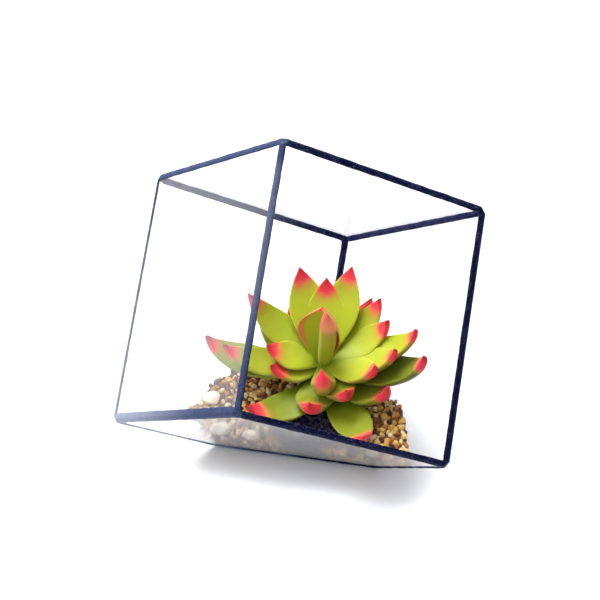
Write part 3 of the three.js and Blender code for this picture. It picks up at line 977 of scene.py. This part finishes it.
@dataclass
class GravelBed(Assembly):
    """The bed of loose grit between the panes."""

    sizes: GritSizes = GritSizes()
    density: float = 400000.0
    size_range: Span = (0.72, 1.22)
    shape_range: tuple[Place, Place] = ((0.7, 0.72, 0.8), (1.2, 1.15, 1.1))
    tilt: float = 0.5
    sunk: float = -0.92
    crowding: float = 0.2
    knob_scale: float = 420.0
    gap: float = 0.25 * MM
    left_end: float = -50.0 * MM
    left_squeeze: float = 0.3
    walls: tuple[str, ...] = ("pane_foot", "pane_lower", "pane_back_left", "pane_back_right")

    def build(self) -> None:
        """Scatters the grains on the bed's whole surface and presses them flat against the panes."""
        bed = solid_of(self.nodes["gravel_bed"])
        bmesh.ops.triangulate(bed, faces=bed.faces)
        piece = new_piece("grit", mesh_of(bed, "grit"))
        self.grains().run(piece)
        places = places_of(piece.data)
        for wall in self.walls:
            inward, level = self.inner_face(self.nodes[wall])
            depth = places @ inward - level - self.gap
            places -= np.minimum(depth, 0.0)[:, None] * inward
        beyond = np.minimum(places[:, 0] - self.left_end, 0.0)
        places[:, 0] -= (1 - self.left_squeeze) * beyond
        put_places(piece.data, places)
        declare(piece, Slot.GRAVEL, "gravel_bed")

    def inner_face(self, pane: Piece) -> tuple[Rows, float]:
        """Finds the plane of a pane's inner side.

        Args:
            pane: The pane's node.

        Returns:
            The direction from the pane into the case, and how far along it the inner side lies.
        """
        glass = solid_of(pane)
        across = broad_side(glass)
        reach = [vert.co.dot(across) for vert in glass.verts]
        glass.free()
        lowest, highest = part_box("gravel_bed")
        inside = ((lowest + highest) / 2).dot(across)
        if inside > max(reach):
            return np.array(across), max(reach)
        return -np.array(across), -min(reach)

    def grains(self) -> NodeModifier:
        """Makes the tree that scatters the grains.

        Returns:
            The tree, with an input for each of the sizes and for both finishes.
        """
        tree = NodeModifier("Scattered grit", self.sizes, grain=self.finishes.grit, fines=self.finishes.fines)
        given = tree.given
        bed, tilt = given["Geometry"], self.tilt
        inputs = {"Mesh": bed, "Distance Min": given["Spacing"], "Density Max": self.density}
        inputs["Seed"] = given["Seed"]
        points = tree.add("GeometryNodeDistributePointsOnFaces", inputs, distribute_method="POISSON").outputs
        size = tree.draw(*self.size_range, 1)
        depth = tree.times(given["Height"], size)
        sunk = tree.moved(points["Points"], tree.scaled(points["Normal"], tree.times(depth, self.sunk)))
        near = tree.add("GeometryNodeProximity", {0: bed}, target_element="FACES").outputs["Distance"]
        crowded = tree.math("LESS_THAN", near, tree.times(depth, self.crowding))
        inputs = {"Geometry": sunk, "Selection": crowded}
        kept = tree.out("GeometryNodeDeleteGeometry", inputs, domain="POINT")
        axes = tree.out("ShaderNodeCombineXYZ", {0: given["Length"], 1: given["Width"], 2: given["Height"]})
        shape = tree.vector("MULTIPLY", axes, tree.draw(*self.shape_range, 2))[0]
        spin = tree.draw((-tilt, -tilt, 0.0), (tilt, tilt, 2 * math.pi), 3)
        inputs = {0: points["Rotation"], 1: spin}
        turned = tree.out("FunctionNodeRotateRotation", inputs, rotation_space="LOCAL")
        stone = tree.out("GeometryNodeMeshIcoSphere", {"Radius": 1.0, "Subdivisions": 2})
        inputs = {"Points": kept, "Instance": stone, "Rotation": turned, "Scale": tree.scaled(shape, size)}
        grains = tree.out("GeometryNodeInstanceOnPoints", inputs)
        tinted = tree.marked(grains, "tint", tree.draw(0.0, 1.0, 4), "INSTANCE")
        real = tree.out("GeometryNodeRealizeInstances", {"Geometry": tinted})
        knobs = tree.add("ShaderNodeTexNoise", {"Scale": self.knob_scale, "Detail": 1.0}).outputs["Color"]
        shift = tree.scaled(tree.vector("SUBTRACT", knobs, (0.5, 0.5, 0.5))[0], given["Roughness"])
        chipped = tree.dressed(tree.shaded(tree.moved(real, shift), False), "Grain")
        inwards = tree.scaled(tree.out("GeometryNodeInputNormal"), tree.times(given["Core Depth"], -1.0))
        core = tree.dressed(tree.moved(bed, inwards), "Fines")
        joined = tree.add("GeometryNodeJoinGeometry")
        for part in (core, chipped):
            tree.feed(joined.inputs[0], part)
        tree.add("NodeGroupOutput", {"Geometry": joined.outputs[0]})
        return tree


@dataclass
class Pebbles(Assembly):
    """The white pebbles that lie on the grit."""

    rounding: int = 2
    flats: int = 9
    flat_depth: Span = (0.74, 0.94)
    wear: int = 6
    dent: float = 0.4 * MM
    dent_scale: float = 220.0
    seed: int = 4

    def build(self) -> None:
        """Builds every pebble."""
        for name in self.named("pebble_"):
            self.pebble(name)

    def pebble(self, name: str) -> None:
        """Gives one pebble worn flats, rounds their edges and leaves shallow dents.

        Args:
            name: The pebble's node.
        """
        stone = solid_of(self.nodes[name])
        bmesh.ops.triangulate(stone, faces=stone.faces)
        piece = new_piece(f"white_{name}", mesh_of(stone, f"white_{name}"))
        surface = piece.modifiers.new("round", "SUBSURF")
        surface.levels = surface.render_levels = self.rounding
        bake_modifiers(piece)
        random = np.random.default_rng(self.seed + int(name.removeprefix("pebble_")))
        places = places_of(piece.data)
        centre = places.mean(axis=0)
        for _ in range(self.flats):
            outward = random.normal(size=3)
            outward /= np.linalg.norm(outward)
            reach = (places - centre) @ outward
            excess = np.maximum(reach - reach.max() * random.uniform(*self.flat_depth), 0.0)
            places -= excess[:, None] * outward
        for number, place in enumerate(places):
            dent = noise.noise(Vector(place) * self.dent_scale)
            places[number] += (place - centre) / np.linalg.norm(place - centre) * dent * self.dent
        put_places(piece.data, places)
        soften = piece.modifiers.new("wear round", "SMOOTH")
        soften.iterations = self.wear
        bake_modifiers(piece)
        piece.data.shade_smooth()
        piece.data.materials.append(self.finishes.pebble)
        declare(piece, Slot.PEBBLE, name)


@dataclass(frozen=True)
class Whorl:
    """One turn of leaves round the rosette, in millimetres and degrees.

    lift is the slope at the root, curl how much steeper the tip is, drop how far below the heart the root is
    and lean how much the whorl tips to the front. Each leaf has its bearing from +X, its length and how far
    it bends sideways. point says how full a leaf stays beyond its shoulder, neck how wide its root is, cup
    how far its margins are lifted, flush how much further the red reaches, bud whether it belongs to the
    bud, margin how brown its margins are, and the last field how deep the painted shade on its leaves is,
    as if the leaves above shaded them.
    """

    lift: float
    curl: float
    width: float
    thickness: float
    drop: float
    lean: float
    leaves: tuple[tuple[float, ...], ...]
    point: float = 1.45
    neck: float = 0.32
    cup: float = 0.2
    flush: float = 0.0
    bud: float = 0.0
    margin: float = 0.0
    tone: float = 0.0


LOWEST = ((-127.3, 53.1, -60), (-56, 64.2), (74, 38), (118, 38))
LOW = ((-87.1, 37.7), (-28.6, 48.6), (64, 44), (126, 42), (151, 46), (187.6, 62.2))
MIDDLE = ((-148.6, 28.7), (-53.3, 36.4), (57, 40), (195.7, 52))
HIGH = ((-23.2, 40.4), (-7.3, 47.5), (5, 57.4), (24.3, 41), (45.8, 42.9), (155.9, 49.5), (190.8, 29.9))
BACK = ((117.3, 47), (95.9, 40.4), (76.5, 47.6))

# The lower whorls carry deeper painted shade.
WHORLS = (
    Whorl(0, 66, 18, 5.5, 7, 3, LOWEST, point=1.7, flush=3.0, tone=0.75),
    Whorl(2, 85, 18.5, 7, 5.5, 4, LOW, point=1.7, flush=1.0, tone=0.65),
    Whorl(9, 76, 18.5, 7, 2, 7, ((-9.5, 64),), flush=1.0, tone=1.0),
    Whorl(8, 78, 16.5, 6.5, 2.5, 7, MIDDLE, tone=0.5),
    Whorl(16, 66, 16, 6, 0.5, 8, HIGH, tone=0.25),
    Whorl(30, 40, 19, 6.5, 0, 4, BACK, point=1.7),
    Whorl(5, 145, 11.5, 7.5, 0.5, 0, ((-74.7, 34.2),), point=2.4, flush=-0.5, tone=0.4),
    Whorl(72, 50, 22, 4.5, 0, 0, ((76, 33.6),), point=2.4, cup=0.6, flush=-6.0, margin=1.0),
    Whorl(72, 30, 8, 8, -0.5, 0, ((-42, 38.2),), point=4.5, neck=0.62, cup=0.1, bud=1.0),
)


@dataclass
class Rosette(Assembly):
    """The succulent: fleshy leaves in whorls round a bud, on a short stem, in millimetres."""

    whorls: tuple[Whorl, ...] = WHORLS
    heart: Place = (8.0, 4.8, 32.5)
    stem_radius: float = 4.0
    stem_foot: float = 9.0
    stem_rings: int = 24
    scar_depth: float = 0.05
    stem_reach: float = 40.0
    shoulder: float = 0.56
    neck_power: float = 1.4
    swell: tuple[float, float, float] = (0.8, 0.45, 0.95)
    upper: float = 0.5
    under: float = 1.35
    curl_power: float = 2.8
    side_reach: float = 1.15
    tip_crowding: float = 1.5
    wave: float = 0.22
    wave_scale: float = 0.11
    stations: int = 48
    around: int = 40
    steps: int = 240
    reach_change: float = 0.8
    tone_change: float = 0.1
    seed: int = 5
    marks: tuple[str, ...] = ("along", "across", "side", "reach", "tone", "bud", "margin")

    def build(self) -> None:
        """Builds every leaf and the stem as one piece."""
        random = np.random.default_rng(self.seed)
        noise.seed_set(self.seed)
        parts = []
        for whorl in self.whorls:
            for bearing, length, *sway in whorl.leaves:
                points, faces, carried = self.leaf(whorl, bearing, length, sum(sway))
                carried["reach"] -= whorl.flush + random.uniform(-self.reach_change, self.reach_change)
                # Painted shade: each leaf's shade depth, from its whorl and varied a little at random.
                carried["tone"] = whorl.tone + random.uniform(-self.tone_change, self.tone_change)
                parts.append((points, faces, carried | {"bud": whorl.bud, "margin": whorl.margin}))
        parts.append((*self.stem(), dict.fromkeys(self.marks, 0.0) | {"reach": self.stem_reach}))
        points = np.concatenate([part[0] for part in parts])
        faces, first = [], 0
        for block, rings, _ in parts:
            faces.extend(tuple(first + index for index in ring) for ring in rings)
            first += len(block)
        mesh = bpy.data.meshes.new("rosette")
        mesh.from_pydata((points * MM).tolist(), [], faces)
        for name in self.marks:
            values = [np.broadcast_to(carried[name], len(block)) for block, _, carried in parts]
            layer = mesh.attributes.new(name, "FLOAT", "POINT")
            layer.data.foreach_set("value", np.concatenate(values).astype(np.float32))
        mesh.update()
        mesh.shade_smooth()
        mesh.materials.append(self.finishes.leaf)
        declare(new_piece("rosette", mesh), Slot.LEAF, "succulent_rosette")

    def outline(self, along: Rows, whorl: Whorl) -> Rows:
        """Gives half a leaf's width: a narrow neck, a broad shoulder, a point.

        Args:
            along: Places along the leaf, from 0 to 1.
            whorl: The leaf's whorl.

        Returns:
            The half width at each place, as a share of the widest.
        """
        beyond = np.clip((along - self.shoulder) / (1 - self.shoulder), 0.0, 1.0)
        rise = np.sin(0.5 * np.pi * np.clip(along / self.shoulder, 0.0, 1.0)) ** self.neck_power
        before = whorl.neck + (1 - whorl.neck) * rise
        return np.where(along > self.shoulder, 1 - beyond**whorl.point, before)

    def spine(self, whorl: Whorl, length: float, sway: float) -> tuple[Rows, Rows, Rows]:
        """Works out the curved middle line of a leaf.

        Args:
            whorl: The leaf's whorl.
            length: Its length along the spine, in millimetres.
            sway: How far it bends sideways, in degrees.

        Returns:
            Its points in millimetres, how steep it is at each and how far turned sideways, in radians.
        """
        along = np.linspace(0, 1, self.steps + 1)
        slopes = np.radians(whorl.lift + whorl.curl * along**self.curl_power)
        turns = np.radians(sway * (along - 0.5))
        level = np.cos(slopes)
        onward = np.stack([level * np.cos(turns), level * np.sin(turns), np.sin(slopes)], axis=1)
        places = np.concatenate([np.zeros((1, 3)), np.cumsum(onward[:-1], axis=0)]) * length / self.steps
        return places, slopes, turns

    def leaf(
        self, whorl: Whorl, bearing: float, length: float, sway: float
    ) -> tuple[Rows, Faces, dict[str, Any]]:
        """Builds one leaf round its curved spine.

        Args:
            whorl: The leaf's whorl.
            bearing: The direction that it grows in, in degrees from +X.
            length: Its length along the spine, in millimetres.
            sway: How far it bends sideways, in degrees.

        Returns:
            Its points in millimetres, its faces, and what each point carries for the finish.
        """
        places, slopes, turns = self.spine(whorl, length, sway)
        along = (1 - (1 - np.linspace(0, 1, self.stations)) ** self.tip_crowding)[:-1]
        angle = 2 * np.pi * np.arange(self.around) / self.around
        at = np.round(along * self.steps).astype(int)
        root, belly, taper = self.swell
        half = 0.5 * whorl.width * self.outline(along, whorl)
        body = 0.5 * whorl.thickness * (root + belly * along - taper * along**4)
        across = half[:, None] * np.cos(angle)
        bulge = np.where(np.sin(angle) > 0, self.upper, self.under) * np.sin(angle)
        lifted = bulge * body[:, None] + whorl.cup * half[:, None] * np.cos(angle) ** 2
        slope, turn = slopes[at][:, None], turns[at][:, None]
        back = -lifted * np.sin(slope)
        x = back * np.cos(turn) - across * np.sin(turn)
        y = back * np.sin(turn) + across * np.cos(turn)
        rings = places[at][:, None] + np.stack([x, y, lifted * np.cos(slope)], axis=2)
        points = np.concatenate([rings.reshape(-1, 3), places[-1:]])
        last = len(along) * self.around
        rim = range(last - self.around, last)
        faces = ring_faces(len(along), self.around)
        faces += [(side, after, last) for side, after in zip(rim, (*rim[1:], rim[0]))]
        away = np.hypot((1 - along)[:, None] * length, self.side_reach * across)
        carried = {
            "along": np.append(np.repeat(along, self.around), 1.0),
            "across": np.append(np.tile(np.cos(angle), len(along)), 0.0),
            "side": np.append(np.tile(np.sin(angle), len(along)), 0.0),
            "reach": np.append(away.ravel(), 0.0),
        }
        return self.set_in_place(points, whorl, bearing), faces, carried

    def set_in_place(self, points: Rows, whorl: Whorl, bearing: float) -> Rows:
        """Turns a leaf to its bearing, leans it with its whorl, sets it on the heart and waves it a little.

        Args:
            points: The leaf's points, as it grows along +X.
            whorl: The leaf's whorl.
            bearing: The direction that it grows in, in degrees from +X.

        Returns:
            The points in place.
        """
        lean = Matrix.Rotation(math.radians(whorl.lean), 3, "X")
        turned = lean @ Matrix.Rotation(math.radians(bearing), 3, "Z")
        placed = (points - (0.0, 0.0, whorl.drop)) @ np.array(turned).T + np.array(self.heart)
        waves = np.array([noise.noise_vector(Vector(point) * self.wave_scale) for point in placed])
        return placed + self.wave * waves

    def stem(self) -> tuple[Rows, Faces]:
        """Builds the short stem, ringed by old leaf scars.

        Returns:
            Its points in millimetres and its faces.
        """
        x, y, top = self.heart
        levels = np.linspace(self.stem_foot, top, self.stem_rings)
        turn = 2 * np.pi * np.arange(self.around) / self.around
        rings = []
        for number, level in enumerate(levels):
            radius = self.stem_radius * (1 - self.scar_depth * (number % 3))
            ring = [x + radius * np.cos(turn), y + radius * np.sin(turn), np.full(self.around, level)]
            rings.append(np.stack(ring, axis=1))
        last = len(levels) * self.around
        faces = ring_faces(len(levels), self.around)
        return np.concatenate(rings), faces + [tuple(range(last - self.around, last))]


def ring_faces(rings: int, around: int) -> Faces:
    """Joins rings of points that follow each other into a tube, closed at its first ring.

    Args:
        rings: How many rings.
        around: How many points each has.

    Returns:
        The tube's faces.
    """
    faces = []
    for low in range(0, (rings - 1) * around, around):
        for side in range(around):
            after, high = (side + 1) % around, low + around
            faces.append((low + side, low + after, high + after, high + side))
    return faces + [tuple(range(around))[::-1]]


@dataclass
class Studio:
    """The pale floor, the soft light and the camera."""

    finishes: Finishes
    azimuth: float = 18.425
    elevation: float = 43.35
    roll: float = 6.223
    distance: float = 0.77027
    aim: Place = (0.0021535, -0.001475, 0.0777965)
    lens: float = 102.2
    clip_start: float = 0.05
    floor_half: float = 4.0
    sky_bright: float = 1.0
    sky_dim: float = 0.06
    sky_side: Place = (-0.6, 0.1, 0.79)
    sky_turn: Span = (-0.9, 0.9)
    backdrop: float = 1.0
    key_power: float = 14.4
    key_size: float = 0.7
    key_place: Place = (-0.42, 0.57, 0.95)

    def build(self) -> None:
        """Builds the whole studio."""
        self.camera()
        self.floor()
        self.sky()
        self.lamp()
        bpy.context.scene.view_settings.view_transform = "Standard"
        bpy.context.scene.view_settings.look = "None"

    def camera(self) -> None:
        """Sets the camera at the photograph's viewing angle."""
        azimuth, elevation = math.radians(self.azimuth), math.radians(self.elevation)
        level = math.cos(elevation)
        back = Vector((math.sin(azimuth) * level, -math.cos(azimuth) * level, math.sin(elevation)))
        data = bpy.data.cameras.new("camera")
        data.lens = self.lens
        data.clip_start = self.clip_start
        camera = new_piece("camera", data)
        camera.location = Vector(self.aim) + self.distance * back
        camera.rotation_mode = "QUATERNION"
        upright = (-back).to_track_quat("-Z", "Y")
        camera.rotation_quaternion = upright @ Quaternion((0, 0, 1), -math.radians(self.roll))
        bpy.context.scene.camera = camera

    def floor(self) -> None:
        """Lays the floor."""
        half = self.floor_half
        corners = [(-half, -half, 0), (half, -half, 0), (half, half, 0), (-half, half, 0)]
        mesh = bpy.data.meshes.new("floor")
        mesh.from_pydata(corners, [], [(0, 1, 2, 3)])
        mesh.materials.append(self.finishes.floor)
        new_piece("floor", mesh)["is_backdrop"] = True

    def sky(self) -> None:
        """Makes a pale sky, brighter above and on the left, which the camera sees evenly bright."""
        world = bpy.data.worlds.new("sky")
        world.use_nodes = True
        web = Web(world.node_tree)
        background = world.node_tree.nodes["Background"]
        direction = web.add("ShaderNodeTexCoord").outputs["Generated"]
        facing = web.vector("DOT_PRODUCT", direction, self.sky_side)["Value"]
        glow = web.spread(web.between(facing, *self.sky_turn), self.sky_dim, self.sky_bright)
        seen = web.add("ShaderNodeLightPath").outputs["Is Camera Ray"]
        strength = web.out("ShaderNodeMix", {"Factor": seen, 2: glow, 3: self.backdrop}, data_type="FLOAT")
        web.feed(background.inputs["Color"], (1.0, 1.0, 1.0))
        web.feed(background.inputs["Strength"], strength)
        bpy.context.scene.world = world

    def lamp(self) -> None:
        """Hangs a square soft lamp that faces the terrarium."""
        data = bpy.data.lights.new("key", "AREA")
        data.shape = "SQUARE"
        data.size = self.key_size
        data.energy = self.key_power
        lamp = new_piece("key", data)
        lamp.location = self.key_place
        lamp.rotation_euler = (Vector(self.aim) - lamp.location).to_track_quat("-Z", "Y").to_euler()


def main() -> None:
    """Builds the terrarium round the frame, and the studio round the terrarium."""
    logging.basicConfig(level=logging.INFO, format="%(name)s: %(message)s")
    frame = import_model()
    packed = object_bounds()
    finishes = Finishes()
    nodes = frame["nodes"]
    Studio(finishes).build()
    assemblies = (
        Case(nodes, finishes, packed),
        GravelBed(nodes, finishes),
        Pebbles(nodes, finishes),
        Rosette(nodes, finishes),
    )
    for assembly in assemblies:
        log.info("building %s", type(assembly).__name__)
        assembly.build()


if __name__ == "__main__":
    main()
